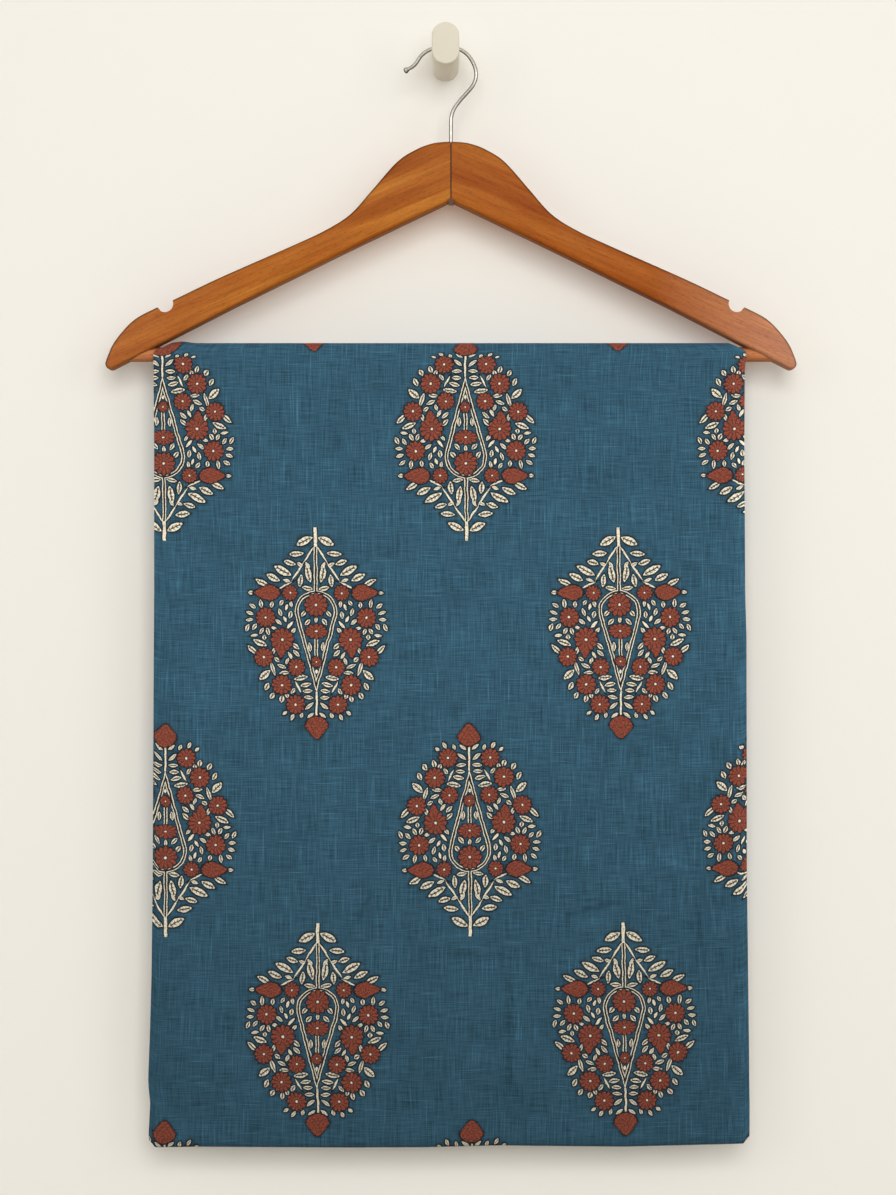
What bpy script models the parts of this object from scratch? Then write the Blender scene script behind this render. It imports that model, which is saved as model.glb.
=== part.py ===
"""Printed cotton length folded over the bar of a wooden hanger on a wall peg.

Metres, +Z up. The wall is the plane Y = 0 and the viewer looks along +Y.
The origin is the centre of the peg's flat face on the wall.
"""
import math

import bmesh
import bpy
from mathutils import Matrix

MM = 0.001
GAP = 0.3 * MM              # left between pieces that touch

# Wall peg: a bar of pill-shaped section with a notch in its top for the hook
PEG_WIDTH = 17.7 * MM
PEG_HEIGHT = 26.9 * MM
PEG_LENGTH = 50.0 * MM
PEG_LIP = 8.0 * MM          # full section left in front of the notch
PEG_ROOT = 18.0 * MM        # full section left at the wall
PEG_EDGE = 1.0 * MM
SEAT_Z = 0.5 * MM           # crown of the notch floor
SEAT_RADIUS = 14.0 * MM

# Wooden hanger: two flat arms mitred together over a round bar
HANGER_Y = -30.0 * MM
SEAM_X = 3.5 * MM
ARM_THICKNESS = 13.0 * MM
ARM_EDGE = 2.5 * MM
ARM_TOP_Z = -60.2 * MM
STRAP_NOTCH_OUT = 184.6 * MM
STRAP_NOTCH_Z = -165.1 * MM
STRAP_NOTCH_RADIUS = 5.4 * MM
BAR_RADIUS = 4.75 * MM
BAR_Z = -197.2 * MM
BAR_HALF_LENGTH = 209.0 * MM

# Arm outline in mm: out from the seam, and height of the edge there
ARM_UPPER_EDGE = (
    # out, height
    (-12.0, -60.2),
    (2.0, -60.2),
    (12.0, -61.3),
    (22.5, -65.2),
    (35.0, -73.4),
    (51.0, -91.5),
    (65.0, -107.0),
    (81.0, -117.3),
    (103.0, -127.6),
    (149.0, -147.9),
    (179.0, -162.2),
    (198.0, -171.2),
    (206.0, -176.4),
    (213.0, -183.7),
    (218.8, -191.8),
    (222.4, -200.2),
)
ARM_TIP_CENTRE = (219.8, -203.7)
ARM_TIP_RADIUS = 3.5
ARM_TIP_DEGREES = (15.0, -117.0)
ARM_TIP_STEPS = 8
ARM_LOWER_EDGE = (
    # out, height
    (209.0, -202.1),
    (182.0, -188.2),
    (141.0, -167.2),
    (70.0, -132.2),
    (-12.0, -92.6),
)

# Hook: steel wire, its shank in a hole at the seam and its bow over the peg
WIRE_RADIUS = 1.2 * MM
SHANK_DEPTH = 20.0 * MM
BOW_RADIUS = 20.1
BOW_CENTRE = (-0.3, -18.1)
BOW_FROM_DEGREES = -8.0
BOW_TO_DEGREES = 128.0
BOW_STEPS = 14
HOOK_NECK = (
    # x, z in mm, from the top of the arms up to the bow
    (3.5, -60.0),
    (3.5, -48.0),
    (4.2, -41.5),
    (7.2, -36.4),
    (12.1, -31.0),
    (16.9, -25.4),
)
HOOK_TAIL = (
    # x, z, wire swell in mm, from the bow down to the beaded tip
    (-17.3, -6.0, 1.0),
    (-21.0, -10.2, 1.0),
    (-23.6, -12.4, 1.0),
    (-25.2, -13.2, 1.35),
    (-26.1, -13.6, 1.5),
    (-27.0, -13.9, 1.2),
    (-27.5, -14.0, 0.5),
)

# Cloth: folded in half end to end and hung with the fold at the lower front
CLOTH_THICKNESS = 1.0 * MM
LAYER_GAP = 0.35 * MM
FOLD_SWELL = 1.1 * MM       # how far the layers part above the soft bottom fold
FOLD_SWELL_HEIGHT = 26.0 * MM
BACK_DROP = 466.0 * MM      # bar centre to the raw ends
CORNER_RADIUS = 4.2 * MM
GATHER_CLEARANCE = 2.2 * MM # kept to the arms where the cloth goes over the bar
GATHER_EASE = 60.0 * MM     # width at each side that takes up the gathering
CLOTH_REACH = 193.0 * MM    # seam to side edge, before the gathering
HUMP_OUT = 174.0 * MM       # rise on top of the bar near the left arm
HUMP_HALF_WIDTH = 5.0 * MM
HUMP_HEIGHT = 1.1 * MM
PANEL_STEPS = 20
BACK_STEPS = 10
BAR_WRAP_STEPS = 12
FOLD_STEPS = 6
INNER_COLUMNS = 16

# Side edges in mm: height, and x of the left and the right edge there
CLOTH_SIDES = (
    # height, left, right
    (-194.0, -188.6, 194.4),
    (-208.0, -188.3, 193.0),
    (-260.0, -187.9, 192.7),
    (-354.0, -187.9, 193.3),
    (-380.0, -188.1, 194.1),
    (-530.0, -188.8, 194.3),
    (-600.0, -189.6, 195.2),
    (-640.0, -190.8, 195.7),
    (-668.0, -191.9, 195.9),
    (-681.0, -190.6, 196.1),
    (-700.0, -191.3, 195.9),
    (-710.0, -191.0, 195.6),
)
# Bottom fold in mm: x and its height there
CLOTH_BOTTOM = (
    # x, height
    (-191.0, -709.4),
    (-158.0, -708.9),
    (-62.0, -709.5),
    (-13.0, -709.3),
    (35.0, -708.1),
    (60.0, -708.4),
    (116.0, -708.9),
    (148.0, -708.1),
    (196.0, -706.9),
)
# Soft hollows and swells of the front in mm: centre, half spans and depth
FRONT_RELIEF = (
    # x, z, half_width, half_height, out
    (-60.0, -330.0, 60.0, 130.0, 0.8),
    (40.0, -400.0, 45.0, 160.0, -0.7),
    (125.0, -330.0, 50.0, 140.0, 0.7),
    (-125.0, -560.0, 50.0, 120.0, 0.9),
    (48.0, -560.0, 16.0, 60.0, -1.0),
    (82.0, -540.0, 14.0, 55.0, 0.9),
    (132.0, -600.0, 26.0, 70.0, -0.9),
    (10.0, -640.0, 60.0, 40.0, 0.7),
    (-188.0, -676.0, 22.0, 14.0, -1.2),
)
BACK_RELIEF = (
    # x, z, half_width, half_height, out
    (-90.0, -420.0, 70.0, 150.0, 1.2),
    (30.0, -520.0, 60.0, 130.0, -1.2),
    (130.0, -430.0, 55.0, 150.0, 1.0),
)


def remove_old_objects():
    for old in list(bpy.data.objects):
        bpy.data.objects.remove(old, do_unlink=True)


def new_collection(name):
    collection = bpy.data.collections.new(name)
    bpy.context.scene.collection.children.link(collection)
    return collection


def finish(name, colour, roughness, metallic=0.0):
    material = bpy.data.materials.new(name)
    material.use_nodes = True
    shader = material.node_tree.nodes["Principled BSDF"]
    shader.inputs["Base Color"].default_value = (*colour, 1.0)
    shader.inputs["Roughness"].default_value = roughness
    shader.inputs["Metallic"].default_value = metallic
    return material


def interpolate(rows, key, column):
    """Straight-line reading of a table whose first column falls or rises."""
    rows = sorted(rows)
    if key <= rows[0][0]:
        return rows[0][column]
    for low, high in zip(rows, rows[1:]):
        if key <= high[0]:
            share = (key - low[0]) / (high[0] - low[0])
            return low[column] + share * (high[column] - low[column])
    return rows[-1][column]


def smooth_through(points, steps):
    """Catmull-Rom curve through points of any dimension."""
    curve = []
    last = len(points) - 1
    for i in range(last):
        p0, p1 = points[max(i - 1, 0)], points[i]
        p2, p3 = points[i + 1], points[min(i + 2, last)]
        for k in range(steps):
            t = k / steps
            curve.append(tuple(
                0.5 * (2.0 * b + (c - a) * t
                       + (2.0 * a - 5.0 * b + 4.0 * c - d) * t * t
                       + (3.0 * b - a - 3.0 * c + d) * t * t * t)
                for a, b, c, d in zip(p0, p1, p2, p3)))
    curve.append(points[-1])
    return curve


def curve_to_mesh(curve_object, collection):
    """Replace a curve object with the closed mesh that it evaluates to."""
    bpy.context.view_layer.update()
    depsgraph = bpy.context.evaluated_depsgraph_get()
    mesh = bpy.data.meshes.new_from_object(curve_object.evaluated_get(depsgraph))
    name = curve_object.name
    solid = bpy.data.objects.new(name + "_solid", mesh)
    solid.matrix_world = curve_object.matrix_world.copy()
    collection.objects.link(solid)
    bpy.data.objects.remove(curve_object, do_unlink=True)
    solid.name = name
    work = bmesh.new()
    work.from_mesh(mesh)
    bmesh.ops.remove_doubles(work, verts=work.verts, dist=0.00001)
    bmesh.ops.recalc_face_normals(work, faces=work.faces)
    work.to_mesh(mesh)
    work.free()
    return solid


def plate(name, outline, y_front, y_back, collection, edge=0.0):
    """Flat plate from an X-Z outline between two Y planes, edge its edges' radius."""
    curve = bpy.data.curves.new(name, "CURVE")
    curve.dimensions = "2D"
    curve.fill_mode = "BOTH"
    curve.extrude = abs(y_back - y_front) / 2.0 - edge
    curve.bevel_depth = edge
    curve.bevel_resolution = 1
    curve.offset = -edge
    spline = curve.splines.new("POLY")
    spline.points.add(len(outline) - 1)
    for point, (x, z) in zip(spline.points, outline):
        point.co = (x, z, 0.0, 1.0)
    spline.use_cyclic_u = True
    board = bpy.data.objects.new(name, curve)
    board.location = (0.0, (y_front + y_back) / 2.0, 0.0)
    board.rotation_euler = (math.radians(90.0), 0.0, 0.0)
    collection.objects.link(board)
    return curve_to_mesh(board, collection)


def cylinder(name, radius, length, centre, direction, collection, segments=40):
    """Cylinder primitive turned from Z to the named axis."""
    turn = {"X": Matrix.Rotation(math.radians(90.0), 4, "Y"),
            "Y": Matrix.Rotation(math.radians(90.0), 4, "X"),
            "Z": Matrix.Identity(4)}[direction]
    mesh = bpy.data.meshes.new(name)
    work = bmesh.new()
    bmesh.ops.create_cone(work, cap_ends=True, segments=segments,
                          radius1=radius, radius2=radius, depth=length, matrix=turn)
    work.to_mesh(mesh)
    work.free()
    rod = bpy.data.objects.new(name, mesh)
    rod.location = centre
    collection.objects.link(rod)
    return rod


def block(name, low, high, collection):
    mesh = bpy.data.meshes.new(name)
    work = bmesh.new()
    bmesh.ops.create_cube(work, size=1.0)
    work.to_mesh(mesh)
    work.free()
    box = bpy.data.objects.new(name, mesh)
    box.scale = [b - a for a, b in zip(low, high)]
    box.location = [(a + b) / 2.0 for a, b in zip(low, high)]
    collection.objects.link(box)
    return box


def mark_as_cutter(cutter):
    cutter.hide_render = True
    cutter.display_type = "WIRE"


def cut(piece, cutter):
    mark_as_cutter(cutter)
    boolean = piece.modifiers.new("cut_" + cutter.name, "BOOLEAN")
    boolean.operation = "DIFFERENCE"
    boolean.object = cutter


def round_edges(piece, width, segments):
    bevel = piece.modifiers.new("rounded_edges", "BEVEL")
    bevel.width = width
    bevel.segments = segments
    bevel.limit_method = "ANGLE"
    bevel.angle_limit = math.radians(50.0)
    bevel.use_clamp_overlap = False


def shade_round(piece):
    piece.data.shade_smooth()
    piece.data.set_sharp_from_angle(angle=math.radians(40.0))


def build_peg(parts, cutters):
    """Pill-section peg, with the notch that keeps a hook on it."""
    radius = PEG_WIDTH / 2.0
    rise = PEG_HEIGHT / 2.0 - radius
    arc_steps = 14
    outline = []
    for centre_z, start in ((rise, 0.0), (-rise, 180.0)):
        for k in range(arc_steps + 1):
            angle = math.radians(start + 180.0 * k / arc_steps)
            outline.append((radius * math.cos(angle), centre_z + radius * math.sin(angle)))
    peg = plate("peg", outline, -PEG_LENGTH, 0.0, parts)
    round_edges(peg, PEG_EDGE, 2)

    half_width = PEG_WIDTH
    floor_half_angle = math.asin(11.0 * MM / SEAT_RADIUS)
    floor = []
    for k in range(11):
        angle = floor_half_angle * (k / 5.0 - 1.0)
        floor.append((SEAT_RADIUS * math.sin(angle),
                      SEAT_Z - SEAT_RADIUS * (1.0 - math.cos(angle))))
    low_z = floor[0][1]
    notch_outline = ([(-half_width, low_z)] + floor
                     + [(half_width, low_z), (half_width, PEG_HEIGHT),
                        (-half_width, PEG_HEIGHT)])
    notch = plate("peg_notch", notch_outline, -PEG_LENGTH + PEG_LIP, -PEG_ROOT, cutters)
    cut(peg, notch)
    shade_round(peg)
    peg.data.materials.append(finish("cream_moulded", (0.78, 0.74, 0.67), 0.45))
    return peg


def build_hook(parts):
    """Round wire: shank, reverse bend, bow over the peg, flared beaded tip."""
    x_centre, z_centre = BOW_CENTRE
    bow = []
    for k in range(BOW_STEPS + 1):
        share = k / BOW_STEPS
        angle = math.radians(BOW_FROM_DEGREES + share * (BOW_TO_DEGREES - BOW_FROM_DEGREES))
        bow.append((x_centre + BOW_RADIUS * math.cos(angle),
                    z_centre + BOW_RADIUS * math.sin(angle), 1.0))
    neck = [(x, z, 1.0) for x, z in HOOK_NECK]
    shank_foot = (SEAM_X / MM, (ARM_TOP_Z - SHANK_DEPTH) / MM, 1.0)
    route = [shank_foot] + smooth_through(neck + bow + list(HOOK_TAIL), 2)

    curve = bpy.data.curves.new("hook", "CURVE")
    curve.dimensions = "3D"
    curve.bevel_depth = WIRE_RADIUS
    curve.bevel_resolution = 2
    curve.use_fill_caps = True
    spline = curve.splines.new("POLY")
    spline.points.add(len(route) - 1)
    for point, (x, z, swell) in zip(spline.points, route):
        point.co = (x * MM, HANGER_Y, z * MM, 1.0)
        point.radius = swell
    wire = bpy.data.objects.new("hook", curve)
    parts.objects.link(wire)
    hook = curve_to_mesh(wire, parts)
    shade_round(hook)
    hook.data.materials.append(finish("steel_wire", (0.62, 0.61, 0.60), 0.25, 1.0))
    return hook


def build_arm(side, name, parts, cutters):
    """One flat arm, side -1 for the left and +1 for the right."""
    upper = smooth_through(ARM_UPPER_EDGE, 3)
    tip = []
    first, last = ARM_TIP_DEGREES
    for k in range(ARM_TIP_STEPS + 1):
        angle = math.radians(first + (last - first) * k / ARM_TIP_STEPS)
        tip.append((ARM_TIP_CENTRE[0] + ARM_TIP_RADIUS * math.cos(angle),
                    ARM_TIP_CENTRE[1] + ARM_TIP_RADIUS * math.sin(angle)))
    outline = [(SEAM_X + side * out * MM, height * MM)
               for out, height in upper + tip + list(ARM_LOWER_EDGE)]
    y_front = HANGER_Y - ARM_THICKNESS / 2.0
    y_back = HANGER_Y + ARM_THICKNESS / 2.0
    arm = plate(name, outline, y_front, y_back, parts, edge=ARM_EDGE)

    seam_face = SEAM_X + side * GAP / 2.0
    past_seam = SEAM_X - side * 30.0 * MM
    saw = block(name + "_mitre_saw",
                (min(seam_face, past_seam), y_front - 0.01, -0.12),
                (max(seam_face, past_seam), y_back + 0.01, -0.04), cutters)
    cut(arm, saw)

    shank_hole = cylinder(name + "_shank_hole", WIRE_RADIUS + GAP, SHANK_DEPTH + 10.0 * MM,
                          (SEAM_X, HANGER_Y, ARM_TOP_Z - SHANK_DEPTH / 2.0 + 5.0 * MM - GAP),
                          "Z", cutters, segments=16)
    cut(arm, shank_hole)

    socket_length = 40.0 * MM
    socket_end = SEAM_X + side * (BAR_HALF_LENGTH + GAP)
    socket = cylinder(name + "_bar_socket", BAR_RADIUS + GAP, socket_length,
                      (socket_end - side * socket_length / 2.0, HANGER_Y, BAR_Z),
                      "X", cutters)
    cut(arm, socket)

    strap_notch = cylinder(name + "_strap_notch", STRAP_NOTCH_RADIUS, ARM_THICKNESS * 2.0,
                           (SEAM_X + side * STRAP_NOTCH_OUT, HANGER_Y, STRAP_NOTCH_Z),
                           "Y", cutters)
    cut(arm, strap_notch)
    shade_round(arm)
    arm.data.materials.append(finish("varnished_wood", (0.42, 0.17, 0.06), 0.35))
    return arm


def build_bar(parts):
    bar = cylinder("bar", BAR_RADIUS, 2.0 * BAR_HALF_LENGTH,
                   (SEAM_X, HANGER_Y, BAR_Z), "X", parts)
    shade_round(bar)
    bar.data.materials.append(finish("varnished_dowel", (0.45, 0.19, 0.07), 0.35))
    return bar


def relief(rows, x, z):
    """Sum of soft round hollows and swells, in metres."""
    total = 0.0
    for centre_x, centre_z, half_width, half_height, out in rows:
        across = (x / MM - centre_x) / half_width
        along = (z / MM - centre_z) / half_height
        total += out * MM * math.exp(-across * across - along * along)
    return total


def fade(value, start, end):
    """Smooth step from 0 at start to 1 at end."""
    share = min(max((value - start) / (end - start), 0.0), 1.0)
    return share * share * (3.0 - 2.0 * share)


def column_shares():
    """Places of the columns across the cloth, closer at its two side edges."""
    edge = (0.0, 0.003, 0.010, 0.028)
    inner = [edge[-1] + (1.0 - 2.0 * edge[-1]) * k / INNER_COLUMNS
             for k in range(1, INNER_COLUMNS)]
    return list(edge) + inner + [1.0 - share for share in reversed(edge)]


def gathered(x, z):
    """Draw a point in from the side edge where the arms' undersides come down."""
    (out_low, low), (out_high, high) = ARM_LOWER_EDGE[:2]
    slope = (low - high) / (out_low - out_high)
    clear = GATHER_CLEARANCE * math.hypot(1.0, slope) / abs(slope)
    widest = (out_high + (z / MM - high) / slope) * MM - clear
    free = widest - GATHER_EASE
    out = abs(x - SEAM_X)
    if out <= free:
        return x
    share = (out - free) / (CLOTH_REACH - free)
    squeezed = free + share * GATHER_EASE
    return SEAM_X + math.copysign(min(out, squeezed), x - SEAM_X)


def cloth_point(share, bottom, section, step):
    """One point of the cloth's middle surface.

    share goes across the cloth; section and step go along its folded path.
    """
    inner_radius = BAR_RADIUS + GAP + CLOTH_THICKNESS / 2.0
    outer_radius = inner_radius + LAYER_GAP + CLOTH_THICKNESS
    outer = section in ("back_outer", "wrap_outer", "front_outer")
    radius = outer_radius if outer else inner_radius
    middle = (outer_radius + inner_radius) / 2.0
    fold_half = (outer_radius - inner_radius) / 2.0 + FOLD_SWELL
    fold_z = bottom + fold_half + CLOTH_THICKNESS / 2.0

    if section.startswith("wrap"):
        angle = math.pi * step
        y = HANGER_Y + radius * math.cos(angle)
        z = BAR_Z + radius * math.sin(angle)
    elif section.startswith("back"):
        drop = BACK_DROP if outer else BACK_DROP + 2.0 * MM
        z = BAR_Z - drop * step
        y = HANGER_Y + radius
    elif section == "fold":
        angle = math.pi * step
        z = fold_z - fold_half * math.sin(angle)
        y = HANGER_Y - middle - fold_half * math.cos(angle)
    else:
        z = BAR_Z + (fold_z - BAR_Z) * step
        swell = FOLD_SWELL * fade(z, fold_z + FOLD_SWELL_HEIGHT, fold_z)
        y = HANGER_Y - radius - (swell if outer else -swell)

    left = interpolate(CLOTH_SIDES, z / MM, 1) * MM
    right = interpolate(CLOTH_SIDES, z / MM, 2) * MM
    x = left + share * (right - left)
    below_bar = fade(z, BAR_Z, BAR_Z - 60.0 * MM)
    if section.startswith("back"):
        y += below_bar * relief(BACK_RELIEF, x, z)
    elif section.startswith("front") or section == "fold":
        y -= below_bar * relief(FRONT_RELIEF, x, max(z, bottom))
    if z > BAR_Z:
        x = gathered(x, z)
        crown = fade(z, BAR_Z, BAR_Z + outer_radius)
        distance = (x - SEAM_X + HUMP_OUT) / HUMP_HALF_WIDTH
        z += crown * HUMP_HEIGHT * math.exp(-distance * distance)
    return (x, y, z)


def build_cloth(parts):
    """Middle surface as a grid along the folded path, thickened by Solidify."""
    path = [("back_outer", 1.0 - k / BACK_STEPS) for k in range(BACK_STEPS)]
    path += [("wrap_outer", k / BAR_WRAP_STEPS) for k in range(BAR_WRAP_STEPS)]
    path += [("front_outer", k / PANEL_STEPS) for k in range(PANEL_STEPS)]
    path += [("fold", k / FOLD_STEPS) for k in range(FOLD_STEPS)]
    path += [("front_inner", 1.0 - k / PANEL_STEPS) for k in range(PANEL_STEPS)]
    path += [("wrap_inner", 1.0 - k / BAR_WRAP_STEPS) for k in range(BAR_WRAP_STEPS)]
    path += [("back_inner", k / BACK_STEPS) for k in range(BACK_STEPS + 1)]

    work = bmesh.new()
    lines = []
    for share in column_shares():
        left = CLOTH_SIDES[-1][1] * MM
        width = (CLOTH_SIDES[-1][2] - CLOTH_SIDES[-1][1]) * MM
        bottom = interpolate(CLOTH_BOTTOM, (left + share * width) / MM, 1) * MM
        inset = min(share, 1.0 - share) * width
        if inset < CORNER_RADIUS:
            rest = CORNER_RADIUS - inset
            bottom += CORNER_RADIUS - math.sqrt(CORNER_RADIUS ** 2 - rest ** 2)
        lines.append([work.verts.new(cloth_point(share, bottom, section, step))
                      for section, step in path])
    for line, next_line in zip(lines, lines[1:]):
        for k in range(len(path) - 1):
            work.faces.new((line[k], line[k + 1], next_line[k + 1], next_line[k]))
    bmesh.ops.recalc_face_normals(work, faces=work.faces)
    mesh = bpy.data.meshes.new("cloth")
    work.to_mesh(mesh)
    work.free()
    mesh.shade_smooth()
    cloth = bpy.data.objects.new("cloth", mesh)
    parts.objects.link(cloth)
    thicken = cloth.modifiers.new("layer_thickness", "SOLIDIFY")
    thicken.thickness = CLOTH_THICKNESS
    thicken.offset = 0.0
    cloth.data.materials.append(finish("printed_cotton", (0.035, 0.115, 0.185), 0.85))
    return cloth


def main():
    remove_old_objects()
    parts = new_collection("cotton_on_hanger")
    cutters = new_collection("cutters")
    build_peg(parts, cutters)
    build_hook(parts)
    build_arm(-1.0, "arm_left", parts, cutters)
    build_arm(1.0, "arm_right", parts, cutters)
    build_bar(parts)
    build_cloth(parts)


main()
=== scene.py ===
"""Looks of a printed cotton length on a wooden hanger and a wall peg.

Metres, +Z up. The wall is the plane Y = 0 and the viewer looks along +Y.
"""
import math
from functools import partial

import bmesh
import bpy
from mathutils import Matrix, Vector


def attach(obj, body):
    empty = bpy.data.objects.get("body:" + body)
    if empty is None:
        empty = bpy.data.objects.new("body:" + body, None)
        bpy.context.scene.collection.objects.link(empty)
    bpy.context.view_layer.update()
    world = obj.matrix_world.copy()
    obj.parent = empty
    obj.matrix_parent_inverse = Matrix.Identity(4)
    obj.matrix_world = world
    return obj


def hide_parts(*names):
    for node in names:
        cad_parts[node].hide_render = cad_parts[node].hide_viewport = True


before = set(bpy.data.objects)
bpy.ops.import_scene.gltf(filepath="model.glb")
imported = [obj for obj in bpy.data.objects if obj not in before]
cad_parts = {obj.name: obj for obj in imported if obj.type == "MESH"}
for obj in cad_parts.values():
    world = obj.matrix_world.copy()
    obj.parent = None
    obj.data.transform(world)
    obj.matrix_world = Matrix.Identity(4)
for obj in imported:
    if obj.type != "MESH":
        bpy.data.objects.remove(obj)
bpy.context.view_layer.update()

MM = 0.001

# Room. A painted plaster wall behind the object and a pale floor under it. Both are
# clear from behind and cast no shadow, so that other views look past them.

WALL_Y = 0.0003
FLOOR_Z = -1.70
ROOM_HALF_SPAN = 9.0


def linear(code):
    """Scene-linear RGBA from an sRGB hex code."""
    channels = [int(code[k:k + 2], 16) / 255.0 for k in (1, 3, 5)]
    curve = [c / 12.92 if c <= 0.04045 else ((c + 0.055) / 1.055) ** 2.4 for c in channels]
    return (*curve, 1.0)


def add_node(tree, kind, sockets=(), operation=None, out=0, **settings):
    """Add a node with its settings, and give back one of its outputs.

    sockets holds a value or a link for each socket: in order, or by name or number.
    """
    node = tree.nodes.new("ShaderNode" + kind)
    if operation:
        node.operation = operation
    for key, value in settings.items():
        setattr(node, key, value)
    if not isinstance(sockets, dict):
        sockets = dict(enumerate(sockets))
    for key, value in sockets.items():
        if isinstance(value, bpy.types.NodeSocket):
            tree.links.new(value, node.inputs[key])
        else:
            node.inputs[key].default_value = value
    return node.outputs[out] if node.outputs else None


def new_material(name):
    """A material without nodes, and add_node bound to its tree."""
    material = bpy.data.materials.new(name)
    material.use_nodes = True
    material.node_tree.nodes.clear()
    return material, partial(add_node, material.node_tree)


def put_in_scene(name, data):
    """A new object in the scene."""
    item = bpy.data.objects.new(name, data)
    bpy.context.scene.collection.objects.link(item)
    return item


def matt_paint(name, colour):
    """Matt paint, rolled on: a faint orange-peel grain, and clear from behind."""
    material, add = new_material(name)
    spot = add("TexCoord", out="Object")
    grain = add("TexNoise", {"Vector": spot, "Scale": 220.0, "Detail": 3.0})
    relief = add("Bump", {"Strength": 0.04, "Distance": 0.4 * MM, "Height": grain})
    coat = add("BsdfPrincipled", {
        "Base Color": linear(colour), "Roughness": 0.85, "IOR": 1.45, "Normal": relief})
    behind = add("NewGeometry", out="Backfacing")
    clear = add("BsdfTransparent")
    one_sided = add("MixShader", (behind, coat, clear))
    add("OutputMaterial", {"Surface": one_sided})
    return material


def stage_plane(name, corners, paint):
    mesh = bpy.data.meshes.new(name)
    mesh.from_pydata(corners, [], [(0, 1, 2, 3)])
    plane = put_in_scene(name, mesh)
    plane.data.materials.append(paint)
    plane.visible_shadow = False


far = ROOM_HALF_SPAN
stage_plane("wall", [(-far, WALL_Y, FLOOR_Z), (far, WALL_Y, FLOOR_Z),
                     (far, WALL_Y, far), (-far, WALL_Y, far)],
            matt_paint("emulsion_on_plaster", "#f3f0e8"))
stage_plane("floor", [(-far, -far, FLOOR_Z), (far, -far, FLOOR_Z),
                      (far, WALL_Y, FLOOR_Z), (-far, WALL_Y, FLOOR_Z)],
            matt_paint("floor_paint_on_concrete", "#cfc7b9"))

# Light. One large softbox in front, a little above the hook and to its right, a card over it,
# a weak softbox at each side, one behind for rear views, and pale room light from above.

world = bpy.data.worlds.new("pale_room")
world.use_nodes = True
world.node_tree.nodes["Background"].inputs["Color"].default_value = linear("#ffffff")
add = partial(add_node, world.node_tree)
direction = add("TexCoord", out="Generated")
height = add("SeparateXYZ", (direction,), out=2)
brightness = add("MapRange", (height, 0.05, 0.55, 0.25, 0.56))
world.node_tree.links.new(brightness,
                          world.node_tree.nodes["Background"].inputs["Strength"])
bpy.context.scene.world = world


def softbox(name, place, aim, width, height, power):
    """White area light at a place, turned to its aim; sizes in metres, power in watts."""
    lamp = bpy.data.lights.new(name, "AREA")
    lamp.shape = "RECTANGLE"
    lamp.size = width
    lamp.size_y = height
    lamp.energy = power
    holder = put_in_scene(name, lamp)
    holder.location = place
    holder.rotation_euler = (Vector(aim) - Vector(place)).to_track_quat("-Z", "Y").to_euler()
    return holder


key = softbox("key_softbox", (0.14, -2.05, 0.15), (0.0, 0.0, -0.32), 1.0, 1.2, 21.6)
key.visible_glossy = False      # crossed filters keep the big light's glare off the varnish
softbox("high_card", (0.0, -2.05, 0.51), (0.0, 0.0, -0.02), 2.0, 0.34, 3.0)
softbox("right_softbox", (1.45, -1.75, 0.10), (0.0, 0.0, -0.2), 0.8, 1.2, 4.5)
softbox("left_softbox", (-1.45, -1.75, 0.10), (0.0, 0.0, -0.2), 0.8, 1.2, 3.5)
softbox("back_softbox", (-0.6, 2.4, 0.9), (0.0, 0.0, -0.35), 2.0, 2.0, 30.0)

# Camera. Level, 1.47 m in front of the wall, at the middle of the photograph's frame.

camera_data = bpy.data.cameras.new("camera")
camera_data.lens = 66.94
camera_data.sensor_width = 36.0
camera = put_in_scene("camera", camera_data)
camera.location = (1.6 * MM, -1.470, -354.65 * MM)
camera.rotation_euler = (math.radians(90.0), 0.0, 0.0)
bpy.context.scene.camera = camera
bpy.context.scene.view_settings.view_transform = "Standard"

# Cloth. One length of slub cotton, folded in three across its width, then in half end to
# end, and hung over the bar with the fold at the lower front. The printed face is outside.

GAP = 0.3 * MM
HANGER_Y = -30.0 * MM
SEAM_X = 3.5 * MM
BAR_RADIUS = 4.75 * MM
BAR_Z = -197.2 * MM

FABRIC = 0.30 * MM          # thickness of one ply
PLY_PITCH = 0.35 * MM       # ply to ply in a folded layer
LAYER = 1.0 * MM            # one layer of three plies
LAYER_GAP = 0.35 * MM
FOLD_SWELL = 1.1 * MM
FOLD_SWELL_HEIGHT = 26.0 * MM
BACK_DROP = 466.0 * MM
CORNER_RADIUS = 4.2 * MM
GATHER_CLEARANCE = 2.2 * MM
GATHER_EASE = 60.0 * MM
CLOTH_REACH = 193.0 * MM
ARM_UNDERSIDE = ((209.0, -202.1), (182.0, -188.2))   # out from the seam, height, in mm
HUMP_OUT = 174.0 * MM
HUMP_HALF_WIDTH = 5.0 * MM
HUMP_HEIGHT = 1.1 * MM
PANEL_WIDTH = 385.0 * MM    # width after folding in three
BACK_ROWS, WRAP_ROWS = 36, 16
PANEL_COLUMNS, HIDDEN_COLUMNS = 112, 36
SIDE_POWER = 8              # how late a ply turns towards its side fold
RELIEF_EASE = 60.0 * MM     # the broad relief grows in over this below the bar
SELVEDGE_INSET = (3.0 * MM, 4.0 * MM)   # under panel and back panel stop short of the fold

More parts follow.
